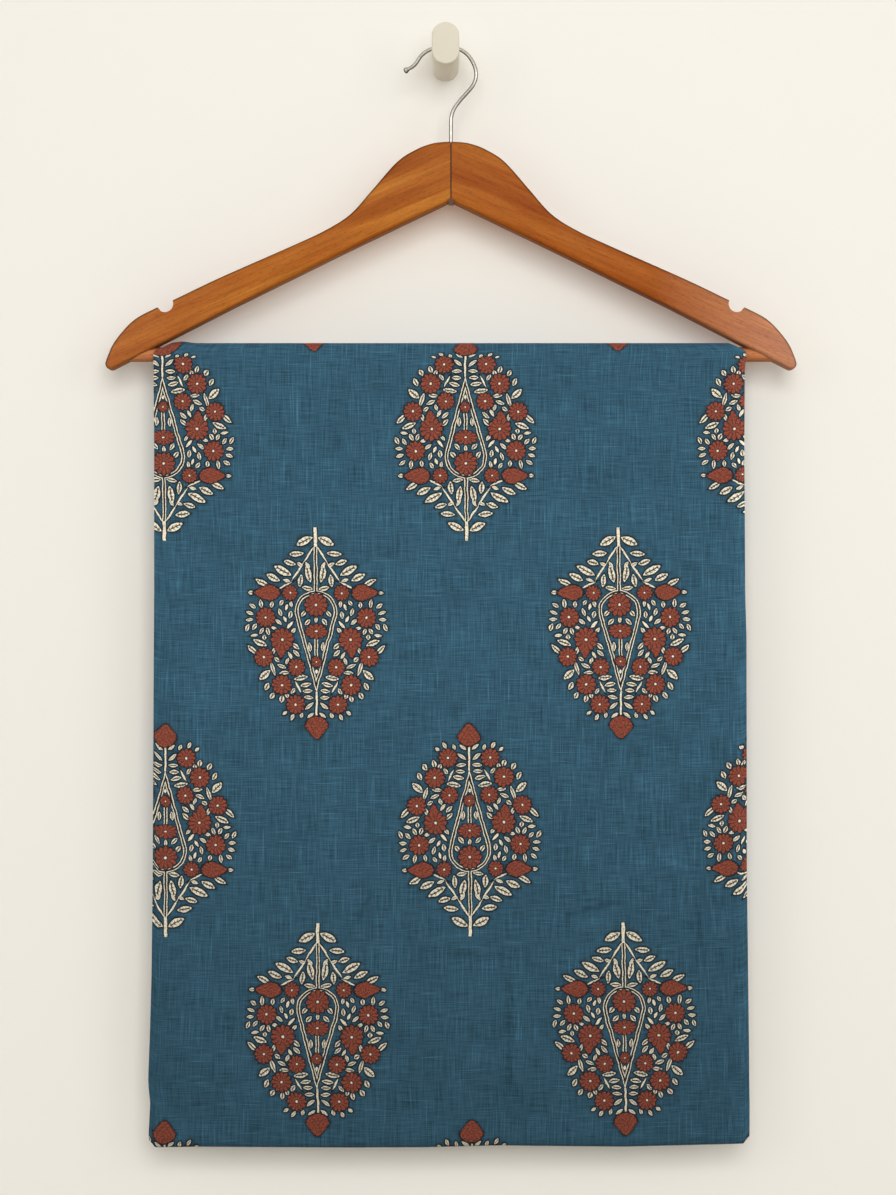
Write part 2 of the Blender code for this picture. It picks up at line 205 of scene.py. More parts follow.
CLOTH_SIDES = (
    # height, left, right in mm
    (-194, -188.6, 194.4), (-208, -188.3, 193), (-260, -187.9, 192.7), (-354, -187.9, 193.3),
    (-380, -188.1, 194.1), (-530, -188.8, 194.3), (-600, -189.6, 195.2), (-640, -190.8, 195.7),
    (-668, -191.9, 195.9), (-681, -190.6, 196.1), (-700, -191.3, 195.9), (-710, -191, 195.6),
)
CLOTH_BOTTOM = (
    # x, height in mm
    (-191, -709.4), (-158, -708.9), (-62, -709.5), (-13, -709.3), (35, -708.1), (60, -708.4),
    (116, -708.9), (148, -708.1), (196, -706.9),
)
FRONT_RELIEF = (
    # x, z, half_width, half_height, out in mm
    (-60, -330, 60, 130, 0.8), (40, -400, 45, 160, -0.7), (125, -330, 50, 140, 0.7),
    (-125, -560, 50, 120, 0.9), (48, -560, 16, 60, -1), (82, -540, 14, 55, 0.9),
    (132, -600, 26, 70, -0.9), (10, -640, 60, 40, 0.7), (-188, -676, 22, 14, -1.2),
)
BACK_RELIEF = (
    (-90, -420, 70, 150, 1.2), (30, -520, 60, 130, -1.2), (130, -430, 55, 150, 1),
)
CREASE_GAIN = 2.4
HIDDEN_CREASE = 14.0        # half width in mm over which a hidden ply gives way
CREASES = (
    # from x, z, to x, z, half width, out: soft troughs and ridges left by folding, in mm
    (39.6, -604, 40.6, -672, 4.5, -0.38), (45.5, -600, 46.5, -668, 5.5, 0.22),
    (0, -585, 38, -586.6, 4.5, -0.36), (78, -560, 110, -551, 5, -0.42),
    (84, -567, 112, -560, 5, 0.25), (161.5, -545, 163, -580, 5, -0.40),
    (-50, -545, -57, -560, 4.5, -0.34), (125.5, -482, 127.5, -516, 5, -0.26),
    (133.5, -484, 135.5, -518, 5, 0.20), (-94, -440, -95, -472, 5, -0.26),
    (140, -524, 154, -528, 6, 0.34), (112, -538, 128, -548, 5, 0.30),
    (-20, -576, 20, -571, 7, 0.22), (-170, -668, -120, -672, 7, 0.20),
    (60, -600, 108, -597, 6, -0.18),
)


def reading(rows, key, column):
    """Straight-line reading of a table whose first column falls or rises."""
    rows = sorted(rows)
    if key <= rows[0][0]:
        return rows[0][column]
    for low, high in zip(rows, rows[1:]):
        if key <= high[0]:
            share = (key - low[0]) / (high[0] - low[0])
            return low[column] + share * (high[column] - low[column])
    return rows[-1][column]


def fade(value, start, end):
    """Smooth step from 0 at start to 1 at end."""
    share = min(max((value - start) / (end - start), 0.0), 1.0)
    return share * share * (3.0 - 2.0 * share)


def swells(rows, x, z):
    """Sum of the broad soft hollows and swells at a point, in metres."""
    total = 0.0
    for centre_x, centre_z, half_width, half_height, out in rows:
        across = (x / MM - centre_x) / half_width
        along = (z / MM - centre_z) / half_height
        total += out * MM * math.exp(-across * across - along * along)
    return total


def creases(x, z, hidden):
    """Sum of the narrow creases at a point, each fading off from its own line.

    A hidden ply gives way to the troughs only, and over a wider strip.
    """
    total = 0.0
    for x0, z0, x1, z1, half_width, out in CREASES:
        if hidden:
            half_width, out = HIDDEN_CREASE, min(out, 0.0)
        px, pz, dx, dz = x / MM - x0, z / MM - z0, x1 - x0, z1 - z0
        share = min(max((px * dx + pz * dz) / (dx * dx + dz * dz), 0.0), 1.0)
        distance = math.hypot(px - share * dx, pz - share * dz) / half_width
        if distance < 3.0:
            total += CREASE_GAIN * out * MM * math.exp(-distance * distance)
    return total


def gathered(x, z):
    """Draw a point in from the side edge where the arms' undersides come down."""
    (out_low, low), (out_high, high) = ARM_UNDERSIDE
    slope = (low - high) / (out_low - out_high)
    clearance = GATHER_CLEARANCE * math.hypot(1.0, slope) / abs(slope)
    widest = (out_high + (z / MM - high) / slope) * MM - clearance
    free = widest - GATHER_EASE
    out = abs(x - SEAM_X)
    if out <= free:
        return x
    squeezed = free + (out - free) / (CLOTH_REACH - free) * GATHER_EASE
    return SEAM_X + math.copysign(min(out, squeezed), x - SEAM_X)


inner_radius = BAR_RADIUS + GAP + LAYER / 2.0
outer_radius = inner_radius + LAYER_GAP + LAYER
fold_half = (outer_radius - inner_radius) / 2.0 + FOLD_SWELL


def path_point(section, step, bottom):
    """y and z of the middle of a layer on the folded path, before any relief."""
    outer = section.endswith("outer")
    radius = outer_radius if outer else inner_radius
    fold_z = bottom + fold_half + LAYER / 2.0
    if section.startswith("wrap"):
        angle = math.pi * step
        return HANGER_Y + radius * math.cos(angle), BAR_Z + radius * math.sin(angle)
    if section.startswith("back"):
        drop = BACK_DROP if outer else BACK_DROP + 2.0 * MM
        return HANGER_Y + radius, BAR_Z - drop * step
    if section == "fold":
        angle = math.pi * step
        middle = (outer_radius + inner_radius) / 2.0
        return (HANGER_Y - middle - fold_half * math.cos(angle),
                fold_z - fold_half * math.sin(angle))
    z = BAR_Z + (fold_z - BAR_Z) * step
    swell = FOLD_SWELL * fade(z, fold_z + FOLD_SWELL_HEIGHT, fold_z)
    return HANGER_Y - radius - (swell if outer else -swell), z


def steps(section, count, first=0.0, last=1.0):
    return [(section, first + (last - first) * k / count) for k in range(count)]


near_fold = 1.0 - 32.0 / 512.0      # closer rows in the last 32 mm above the fold
path = (steps("back_outer", BACK_ROWS, 1.0, 0.0) + steps("wrap_outer", WRAP_ROWS)
        + steps("front_outer", 92, 0.0, near_fold) + steps("front_outer", 14, near_fold, 1.0)
        + steps("fold", 12)
        + steps("front_inner", 8, 1.0, near_fold) + steps("front_inner", 30, near_fold, 0.0)
        + steps("wrap_inner", 12, 1.0, 0.0) + steps("back_inner", 14) + [("back_inner", 1.0)])

# Length along the path, so that the print lies flat on the cloth. It reads as the height
# on the front panel.
flat_bottom = reading(CLOTH_BOTTOM, 0.0, 1) * MM
centre_line = [path_point(section, step, flat_bottom) for section, step in path]
along = [0.0]
for (y0, z0), (y1, z1) in zip(centre_line, centre_line[1:]):
    along.append(along[-1] + math.hypot(y1 - y0, z1 - z0))
bar_row = BACK_ROWS + WRAP_ROWS
flat_height = [centre_line[bar_row][1] + along[bar_row] - length for length in along]

# Columns across the flat width: back panel, left fold, front panel, right fold, under panel.
# Each has its share of the panel, a shift along x, its ply's place and its flat place.
tight = PLY_PITCH / 2.0
half_fabric = FABRIC / 2.0
columns = []
for k in range(HIDDEN_COLUMNS + 1):
    share = (1.0 - k / HIDDEN_COLUMNS) * (1.0 - SELVEDGE_INSET[1] / PANEL_WIDTH)
    columns.append((share, (1.0 - share) ** SIDE_POWER * (PLY_PITCH + half_fabric), -PLY_PITCH,
                    -share * PANEL_WIDTH))
for k in range(1, 7):
    angle = math.pi * k / 7.0
    columns.append((0.0, PLY_PITCH + half_fabric - PLY_PITCH * math.sin(angle),
                    -PLY_PITCH * math.cos(angle), 0.0))
for k in range(PANEL_COLUMNS + 1):
    share = k / PANEL_COLUMNS
    inset = ((1.0 - share) ** SIDE_POWER * (PLY_PITCH + half_fabric)
             - share ** SIDE_POWER * (tight + half_fabric))
    columns.append((share, inset, PLY_PITCH, share * PANEL_WIDTH))
for k in range(1, 6):
    angle = math.pi * k / 6.0
    columns.append((1.0, tight * math.sin(angle) - tight - half_fabric,
                    tight + tight * math.cos(angle), PANEL_WIDTH))
for k in range(HIDDEN_COLUMNS + 1):
    share = 1.0 - k / HIDDEN_COLUMNS * (1.0 - SELVEDGE_INSET[0] / PANEL_WIDTH)
    columns.append((share, -share ** SIDE_POWER * (tight + half_fabric), 0.0,
                    (2.0 - share) * PANEL_WIDTH))

cloth_left = CLOTH_SIDES[-1][1] * MM
cloth_width = (CLOTH_SIDES[-1][2] - CLOTH_SIDES[-1][1]) * MM
work = bmesh.new()
flat_place = work.loops.layers.uv.new("flat_cloth")
grid = []
for share, shift, offset, _ in columns:
    bottom = reading(CLOTH_BOTTOM, (cloth_left + share * cloth_width) / MM, 1) * MM
    inset = min(share, 1.0 - share) * cloth_width
    if inset < CORNER_RADIUS:
        rest = CORNER_RADIUS - inset
        bottom += CORNER_RADIUS - math.sqrt(CORNER_RADIUS ** 2 - rest ** 2)
    line = []
    for section, step in path:
        y, z = path_point(section, step, bottom)
        left = reading(CLOTH_SIDES, z / MM, 1) * MM
        right = reading(CLOTH_SIDES, z / MM, 2) * MM
        x = left + share * (right - left) + shift
        below_bar = fade(z, BAR_Z, BAR_Z - RELIEF_EASE)
        if section.startswith("back"):
            y += below_bar * swells(BACK_RELIEF, x, z)
        elif section.startswith("front") or section == "fold":
            y -= below_bar * (swells(FRONT_RELIEF, x, max(z, bottom))
                              + creases(x, z, offset < PLY_PITCH or "inner" in section))
        if z > BAR_Z:
            x = gathered(x, z)
            crown = fade(z, BAR_Z, BAR_Z + outer_radius)
            distance = (x - SEAM_X + HUMP_OUT) / HUMP_HALF_WIDTH
            z += crown * HUMP_HEIGHT * math.exp(-distance * distance)
        line.append(Vector((x, y, z)))
    placed = []
    for k, point in enumerate(line):
        way = line[min(k + 1, len(line) - 1)] - line[max(k - 1, 0)]
        outward = Vector((0.0, way.z, -way.y)).normalized()
        placed.append(work.verts.new(point + outward * offset))
    grid.append(placed)
for c in range(len(columns) - 1):
    for k in range(len(path) - 1):
        face = work.faces.new((grid[c][k], grid[c][k + 1], grid[c + 1][k + 1], grid[c + 1][k]))
        face.smooth = True
        corners = ((c, k), (c, k + 1), (c + 1, k + 1), (c + 1, k))
        for loop, (column, row) in zip(face.loops, corners):
            loop[flat_place].uv = (columns[column][3] + cloth_left, flat_height[row])
cloth_mesh = bpy.data.meshes.new("folded_cotton")
work.to_mesh(cloth_mesh)
work.free()
cloth = put_in_scene("folded_cotton", cloth_mesh)
thickness = cloth.modifiers.new("fabric_thickness", "SOLIDIFY")
thickness.thickness = FABRIC
thickness.offset = 0.0

# Printed cotton: plain-woven slub yarn, piece-dyed blue, then block-printed in a dark key
# outline, cream and rust. The pigments sit on the yarn, so the weave breaks their edges.

DYED_BLUE = "#33576a"
KEY_DARK = "#1c1d20"
PRINT_CREAM = "#f3ead2"
PRINT_RUST = "#9b4e39"
HALF_REPEAT = (98.75, 127.9)        # mm across and along between neighbouring motifs
FIRST_MOTIF = (12.2, -249.0)        # mm, a motif with its bud up
PLAIN_EDGE = 9.0                    # mm of selvedge unprinted, and from ends to stitching
STITCH_PITCH, STITCH = 3.2, 2.4     # mm
FOLD_LEVEL = 712.0                  # mm down the print where the cloth folds
PRINT_LEAN = 0.0083                 # mm across for each mm down: it runs off the grain

# The block, charted in mm from its centre with the stem up. It is mirrored at its middle
# line, so only the right half is given. Leaves are x, y, direction in degrees, half length,
# half width; the branch is drawn as long thin leaves too.
leaves = [
    # branch
    (7, 59.2, -27, 5.9, 2.5), (4.4, 50.2, -57, 6.8, 0.62), (11.6, 39, -56, 7.6, 0.62),
    (20.4, 30, -25, 5.6, 0.55), (12.4, 50.6, -5, 4.9, 1.9), (16.8, 44.8, 17, 4.1, 1.7),
    (21.6, 39.6, 28, 6.6, 2.3), (27.8, 35.2, 26, 5, 2), (35, 31.9, 28, 5, 1.7),
    (10.2, 43.6, 24, 2.2, 1.1), (19, 33.4, 18, 2.5, 1), (4.6, 37.6, 77, 5.8, 2),
    (10, 33.2, 97, 4.3, 1.7), (5, 43.2, 58, 2.6, 1), (5.4, 28.3, 8, 3.6, 1.4),
    (42.2, 25.4, 0, 2, 1.1),
    # above the middle
    (22.4, 18.8, 125, 2, 1.2), (28.8, 17.7, 98, 2.1, 1.3), (35.8, 18.2, 84, 3, 1.3),
    (41.4, 17, 34, 2.4, 1.2), (43, 12.4, 18, 2.6, 1.1), (43.4, 8, -2, 2.5, 1.1),
    (44.8, 2.8, -66, 2.5, 1.3), (40, 3.4, -50, 2.3, 1.2), (40.2, -2.2, -8, 2.5, 1),
    (35.6, 0.6, -58, 2.3, 1.2), (31.4, 0.4, -112, 2.3, 1.3), (33.8, -3.4, -90, 1.7, 1.4),
    (16.2, 18.2, 78, 2.2, 1.1), (19.2, 16.2, 106, 2.2, 0.9), (23.4, 12.8, 74, 2.6, 1.2),
    (16.8, 11.2, 100, 2.4, 1.4), (20.2, 8.4, 62, 2.3, 0.9), (24.6, 6.6, 38, 2.9, 1.1),
    (27.4, 2.6, 16, 2.3, 1), (16.8, 4.6, -48, 3.4, 0.9), (14.9, 0.9, -52, 2.3, 1.1),
    (8.2, 12, -52, 2.5, 1.4), (5.6, 6.6, -48, 2.6, 1.3), (0, 8, 90, 2.2, 1.1),
    (4.2, -9.4, 84, 2.9, 1.2), (0, -25.4, 90, 1.4, 0.9),
    # below it
    (36.8, -6.9, 22, 4.9, 1.7), (41.6, -11.4, 42, 4.4, 1.5), (13.4, -9, 42, 3, 1.3),
    (13.2, -13.6, 44, 2.9, 1.2), (17.2, -15, 58, 2.6, 1), (19, -18.6, -66, 2.2, 1.1),
    (28, -12.2, -68, 3.1, 1.1), (25.6, -17.6, 34, 2, 1.3), (22.6, -21.9, 22, 3.1, 1.2),
    (20.8, -26.2, -4, 3.3, 1.2), (28.4, -23.4, 72, 4.9, 1.2), (33.6, -27.6, -42, 4.6, 2.1),
    (32.2, -35, -62, 2.7, 1.5), (28.8, -41, -58, 2.3, 1.5), (22.6, -43, -74, 2.4, 1.5),
    (19.2, -41, -112, 1.8, 1.2), (11.8, -35.4, 62, 4.2, 0.6), (15.4, -38, -52, 2.3, 1.2),
    (9.8, -53.6, -70, 1.9, 1.1), (15.8, -54.8, -58, 2.2, 1.1), (20.6, -52.2, -36, 1.8, 1),
    (10.2, -29.4, -10, 4.7, 1.7), (7, -33.8, -12, 3.7, 1.4), (5.7, -37.8, -2, 3.1, 1.3),
    (5.2, -42, 4, 3.2, 1.2), (4.8, -47.4, -38, 3.4, 1.1), (4, -53.6, -36, 2.8, 1),
]

# Flowers: x, y, direction, half length, half width, and 1 for a rosette with an eye or -1
# for a scaly bud
flowers = [
    (0, 17.5, 90, 7.4, 7.4, 1), (0, 0.6, 90, 4.7, 7.5, 1), (0, -19, 90, 3.4, 3.4, 1),
    (0, -61.4, -90, 7.4, 7.6, -1), (31.8, 25.4, 0, 8.6, 5.2, -1),
    (16.8, 25.2, 90, 4.8, 4.8, 1), (32.8, 9.4, 90, 6.3, 6.3, 1), (22.2, -4.8, 90, 7.5, 7.5, 1),
    (23, -12.8, -90, 3.8, 3, -1), (34.2, -16, 90, 6, 6, 1), (12.9, -22.6, 90, 5.5, 5.5, 1),
    (22.5, -34, 90, 6.4, 6.4, 1), (13.7, -46.6, 90, 6, 6, 1),
]

cotton, add = new_material("block_printed_slub_cotton")


def apart(value, place):
    """How far a coordinate is from a place, on either side of it."""
    beyond = add("Math", (value, place), "SUBTRACT")
    return add("Math", (beyond,), "ABSOLUTE")


flat = add("UVMap", uv_map="flat_cloth")
flat_mm = add("VectorMath", {0: flat, "Scale": 1000.0}, "SCALE")

# A block never lands quite flat or square, so the print's lines waver a little
waver = add("TexNoise", {"Vector": flat_mm, "Scale": 0.16, "Detail": 1.0}, out="Color")
waver = add("VectorMath", (waver, (0.5, 0.5, 0.5)), "SUBTRACT")
ragged = add("TexNoise", {"Vector": flat_mm, "Scale": 1.3, "Detail": 2.0}, out="Color")
ragged = add("VectorMath", (ragged, (0.5, 0.5, 0.5)), "SUBTRACT")
printed = add("VectorMath", (waver, (1.3, 1.3, 0.0), flat_mm), "MULTIPLY_ADD")
printed = add("VectorMath", (ragged, (0.65, 0.65, 0.0), printed), "MULTIPLY_ADD")
spread = add("SeparateXYZ", (printed,), out=0)
print_u, print_v = spread, spread.node.outputs[1]

# Stamped by hand: the first row under the bar landed a little low, and so did the row above
row_low = add("MapRange", (print_v, -330.0, -290.0, 0.0, 1.8))
bar_row_low = add("MapRange", (print_v, -201.0, -195.0, 0.0, 4.5))
print_v = add("Math", (print_v, row_low), "ADD")
print_v = add("Math", (print_v, bar_row_low), "ADD")

# Pigment takes unevenly on the yarn
patchy = add("TexNoise", {"Vector": flat_mm, "Scale": 0.9, "Detail": 3.0, "Roughness": 0.7})

# Half-drop repeat: every second column of motifs is moved half a repeat and turned over
half_x, half_y = HALF_REPEAT
print_u = add("Math", (print_v, PRINT_LEAN, print_u), "MULTIPLY_ADD")
leaned_first = FIRST_MOTIF[0] + PRINT_LEAN * FIRST_MOTIF[1]
from_first = add("Math", (print_u, leaned_first), "SUBTRACT")
motif_x = add("Math", (from_first, half_x / 2.0, -half_x / 2.0), "WRAP")
two_columns = add("Math", (from_first, 1.5 * half_x, -half_x / 2.0), "WRAP")
stem_up = add("Math", (two_columns, half_x / 2.0), "GREATER_THAN")
dropped = add("Math", (stem_up, half_y, print_v), "MULTIPLY_ADD")
dropped = add("Math", (dropped, FIRST_MOTIF[1]), "SUBTRACT")
dropped = add("Math", (dropped, half_y, -half_y), "WRAP")
turned = add("Math", (stem_up, 2.0, -1.0), "MULTIPLY_ADD")
motif_y = add("Math", (dropped, turned), "MULTIPLY")
half_x_place = add("Math", (motif_x,), "ABSOLUTE")
spot = add("CombineXYZ", (half_x_place, motif_y, 1.0))


def nearest(stamps):
    """Find which of the block's leaves or flowers each point is in or nearest to.

    Gives the point in that stamp's own measure, with its half width in hundredths of a mm
    as the third part, and how far out the point is, 1 at the stamp's end.
    """
    kept = closest = None
    for x, y, degrees, half_length, half_width, note in stamps:
        c, s = math.cos(math.radians(degrees)), math.sin(math.radians(degrees))
        along_it = add("VectorMath", (spot, (c / half_length, s / half_length,
                                             -(x * c + y * s) / half_length)),
                       "DOT_PRODUCT", out="Value")
        across_it = add("VectorMath", (spot, (-s / half_width, c / half_width,
                                              (x * s - y * c) / half_width)),
                        "DOT_PRODUCT", out="Value")
        local = add("CombineXYZ", (along_it, across_it, note * half_width / 100.0))
        reach = add("VectorMath", (local,), "LENGTH", out="Value")
        if kept is None:
            kept, closest = local, reach
            continue
        nearer = add("Math", (reach, closest), "LESS_THAN")
        kept = add("Mix", {0: nearer, 4: kept, 5: local}, out=1, data_type="VECTOR")
        closest = add("Math", (reach, closest), "MINIMUM")
    return kept, closest


leaf_spot, _ = nearest([(*leaf, 1) for leaf in leaves])
flower_spot, flower_reach = nearest(flowers)

# Leaf: a lens with a dark midrib and streaks where the block's cut lines show
leaf_along = add("SeparateXYZ", (leaf_spot,), out=0)
leaf_across = add("Math", (leaf_along.node.outputs[1],), "ABSOLUTE")
leaf_size = add("Math", (leaf_along.node.outputs[2], 100.0), "MULTIPLY")
leaf_along_2 = add("Math", (leaf_along, leaf_along), "MULTIPLY")
lens = add("Math", (1.0, leaf_along_2), "SUBTRACT")
lens = add("Math", (lens, leaf_across), "SUBTRACT")
leaf_inside = add("Math", (lens, leaf_size), "MULTIPLY")
leaf_mask = add("MapRange", (leaf_inside, -0.10, 0.12))
leaf_shadow = add("MapRange", (leaf_inside, -1.20, -0.80))
midrib = add("Math", (leaf_across, leaf_size), "MULTIPLY")
midrib = add("MapRange", (midrib, 0.52, 0.26))
broad = add("MapRange", (leaf_size, 0.9, 1.25))
short = add("MapRange", (leaf_along_2, 0.62, 0.40))
midrib = add("Math", (midrib, broad), "MULTIPLY")
midrib = add("Math", (midrib, short), "MULTIPLY")
# Cut veins slant off the midrib of the broader leaves
vein = add("Math", (leaf_across, -5.0), "MULTIPLY")
vein = add("Math", (leaf_along, 15.0, vein), "MULTIPLY_ADD")
vein = add("Math", (vein,), "SINE")
vein = add("MapRange", (vein, 0.30, 0.85))
veined = add("MapRange", (leaf_size, 1.25, 1.6, 0.0, 0.85))
vein = add("Math", (vein, veined), "MULTIPLY")
near_rib = add("MapRange", (leaf_across, 0.68, 0.42))
vein = add("Math", (vein, near_rib), "MULTIPLY")
midrib = add("Math", (midrib, vein), "MAXIMUM")

# Lines: the drop's double outline, the double stem above it and the stem of the feather
DROP_TOP, DROP_RADIUS, DROP_POINT = 13.2, 12.6, -34.4
slope = math.asin(DROP_RADIUS / (DROP_TOP - DROP_POINT))
side_x, side_y = math.cos(slope), -math.sin(slope)
from_side = add("VectorMath", (spot, (side_x, side_y, -DROP_TOP * side_y)),
                "DOT_PRODUCT", out="Value")
down_side = add("VectorMath", (spot, (side_y, -side_x, DROP_TOP * side_x)),
                "DOT_PRODUCT", out="Value")
from_top = add("VectorMath", (spot, (0.0, DROP_TOP, 1.0)), "DISTANCE", out="Value")
on_side = add("Math", (down_side, 0.0), "GREATER_THAN")
from_drop = add("Mix", {0: on_side, 2: from_top, 3: from_side})
from_drop = apart(from_drop, DROP_RADIUS)
upper_stem = add("Math", (motif_y, 40.8, 14.6), "COMPARE")
inner_stem = add("Math", (motif_y, -10.2, 6.0), "COMPARE")
on_stem = add("Math", (upper_stem, inner_stem), "ADD")
from_stem = add("Math", (on_stem, -60.0, 60.0), "MULTIPLY_ADD")
from_stem = add("Math", (half_x_place, from_stem), "ADD")
from_double = add("Math", (from_drop, from_stem), "MINIMUM")
to_double = apart(from_double, 0.86)
double_mask = add("MapRange", (to_double, 0.40, 0.18))
double_shadow = add("MapRange", (from_double, 2.1, 1.5))
top_stem = add("Math", (motif_y, 61.9, 6.5), "COMPARE")
foot_stem = add("Math", (motif_y, -46.0, 7.6), "COMPARE")
stem_inside = add("Math", (top_stem, 1.4, -0.4), "MULTIPLY_ADD")
stem_inside = add("Math", (foot_stem, 1.0, stem_inside), "MULTIPLY_ADD")
stem_inside = add("Math", (stem_inside, half_x_place), "SUBTRACT")
stem_mask = add("MapRange", (stem_inside, -0.10, 0.12))
on_single = add("Math", (top_stem, foot_stem), "ADD")
stem_shadow = add("MapRange", (stem_inside, -1.0, -0.55))
stem_shadow = add("Math", (stem_shadow, on_single), "MULTIPLY")

# Flower: a rosette of twelve petals cut by dark lines, or a bud of overlapping scales
flower_along = add("SeparateXYZ", (flower_spot,), out=0)
flower_across = flower_along.node.outputs[1]
flower_note = flower_along.node.outputs[2]
is_bud = add("Math", (flower_note, 0.0), "LESS_THAN")
not_bud = add("Math", (1.0, is_bud), "SUBTRACT")
# A bud tapers to a point at its outer end
taper = add("MapRange", (flower_along, -0.1, 0.95, 0.96, 1.75))
tapered = add("Math", (flower_across, taper), "MULTIPLY")
tapered = add("CombineXYZ", (flower_along, tapered))
tapered = add("VectorMath", (tapered,), "LENGTH", out="Value")
flower_reach = add("Mix", {0: is_bud, 2: flower_reach, 3: tapered})
flower_size = add("Math", (flower_note,), "ABSOLUTE")
flower_size = add("Math", (flower_size, 100.0), "MULTIPLY")
bearing = add("Math", (flower_across, flower_along), "ARCTAN2")
petals = add("Math", (bearing, 12.0), "MULTIPLY")
petals = add("Math", (petals,), "COSINE")
petal_reach = add("Math", (petals, not_bud), "MULTIPLY")
petal_reach = add("Math", (petal_reach, 0.07, 0.94), "MULTIPLY_ADD")
flower_inside = add("Math", (petal_reach, flower_reach), "SUBTRACT")
flower_inside = add("Math", (flower_inside, flower_size), "MULTIPLY")
frayed = add("Math", (patchy, 0.5), "SUBTRACT")
flower_inside = add("Math", (frayed, 2.2, flower_inside), "MULTIPLY_ADD")
flower_mask = add("MapRange", (flower_inside, -0.15, 0.15))
flower_shadow = add("MapRange", (flower_inside, -1.20, -0.70))
petal_cut = add("MapRange", (petals, -0.45, -0.85))
outer_part = add("MapRange", (flower_reach, 0.28, 0.42))
petal_cut = add("Math", (petal_cut, outer_part), "MULTIPLY")
chevron = add("Math", (flower_across,), "ABSOLUTE")
chevron = add("Math", (chevron, 1.6, flower_along), "MULTIPLY_ADD")
chevron = add("Math", (chevron, 11.0), "MULTIPLY")
chevron = add("Math", (chevron,), "SINE")
chevron = add("MapRange", (chevron, 0.45, 0.95, 0.0, 0.7))
flower_cut = add("Mix", {0: is_bud, 2: petal_cut, 3: chevron})
eye = add("MapRange", (flower_reach, 0.16, 0.10))
eye = add("Math", (eye, not_bud), "MULTIPLY")
eye_rim = add("MapRange", (flower_reach, 0.30, 0.20))
eye_rim = add("Math", (eye_rim, not_bud), "MULTIPLY")

# Yarn: about 20 threads to the centimetre each way, drawn at twice the real pitch, which
# is the finest that shows; slubs are the long thick places in it
threads, slubs = [], []
for run, slub_run, slub_from in (((1.5, 0.045, 0.0), (1.0, 0.028, 0.0), 0.62),
                                 ((0.06, 1.5, 0.0), (0.034, 1.0, 0.0), 0.64)):
    place = add("VectorMath", (flat_mm, run), "MULTIPLY")
    threads.append(add("TexNoise", {"Vector": place, "Scale": 1.0, "Detail": 3.0,
                                    "Roughness": 0.62}))
    place = add("VectorMath", (flat_mm, slub_run), "MULTIPLY")
    thick = add("TexNoise", {"Vector": place, "Scale": 1.0, "Detail": 1.0})
    slubs.append(add("MapRange", (thick, slub_from, slub_from + 0.12)))
yarn = add("Math", threads, "ADD")
slub = add("Math", slubs, "ADD")
shade = add("MapRange", (yarn, 0.66, 1.34, 0.42, 1.58))
shade = add("Math", (slub, 0.55, shade), "MULTIPLY_ADD")
# The dye bath takes a little unevenly, in patches 20 to 40 mm across
clouds = add("TexNoise", {"Vector": flat_mm, "Scale": 0.035, "Detail": 4.0, "Roughness": 0.65})
clouds = add("MapRange", (clouds, 0.30, 0.70, 0.88, 1.12))
shade = add("Math", (shade, clouds), "MULTIPLY")

# Pigment density: thin where the yarn dips, and a little patchy over the block
thin_ink = add("MapRange", (patchy, 0.38, 0.50, 0.50, 1.0))

blue = add("Mix", {0: 1.0, 6: linear(DYED_BLUE), 7: shade}, out=2, data_type="RGBA",
           blend_type="MULTIPLY")
key = leaf_shadow
for shadow in (double_shadow, stem_shadow, flower_shadow):
    key = add("Math", (key, shadow), "MAXIMUM")
key = add("Math", (key, 0.93), "MULTIPLY")
for inside in (leaf_inside, flower_inside):
    near = add("MapRange", (inside, -3.2, -1.0, 0.0, 0.34))
    key = add("Math", (key, near), "MAXIMUM")
cream_mask = add("Math", (1.0, midrib), "SUBTRACT")
cream_mask = add("Math", (leaf_mask, cream_mask), "MULTIPLY")
cream_mask = add("Math", (cream_mask, double_mask), "MAXIMUM")
cream_mask = add("Math", (cream_mask, stem_mask), "MAXIMUM")
not_flower = add("Math", (1.0, flower_shadow), "SUBTRACT")
cream_mask = add("Math", (cream_mask, not_flower), "MULTIPLY")
cream_mask = add("Math", (cream_mask, thin_ink), "MULTIPLY")
speckle = add("MapRange", (patchy, 0.53, 0.42, 0.0, 0.9))
petal_ink = add("Math", (flower_cut, eye_rim), "MAXIMUM")
petal_ink = add("Math", (petal_ink, speckle), "MAXIMUM")
petal_ink = add("Math", (petal_ink, 0.76), "MULTIPLY")
petal_ink = add("Math", (1.0, petal_ink), "SUBTRACT")
rust_mask = add("Math", (flower_mask, petal_ink), "MULTIPLY")

# The print stops short of the selvedges, and stitching holds the hem at each end
flat_u = add("SeparateXYZ", (flat_mm,), out=0)
flat_v = flat_u.node.outputs[1]
middle_u = cloth_left / MM + PANEL_WIDTH / MM / 2.0 + SELVEDGE_INSET[1] / MM / 2.0
from_middle = apart(flat_u, middle_u)
selvedge = add("Math", (from_middle, 1.5 * PANEL_WIDTH / MM - PLAIN_EDGE), "GREATER_THAN")
middle_v = (flat_height[0] + flat_height[-1]) / 2.0 / MM
half_v = (flat_height[0] - flat_height[-1]) / 2.0 / MM
from_end = apart(flat_v, middle_v)
seam_row = add("Math", (from_end, half_v - PLAIN_EDGE, 0.35), "COMPARE")
stitch = add("Math", (flat_u, STITCH_PITCH, 0.0), "WRAP")
stitch = add("Math", (stitch, STITCH), "LESS_THAN")
stitch = add("Math", (stitch, seam_row), "MULTIPLY")

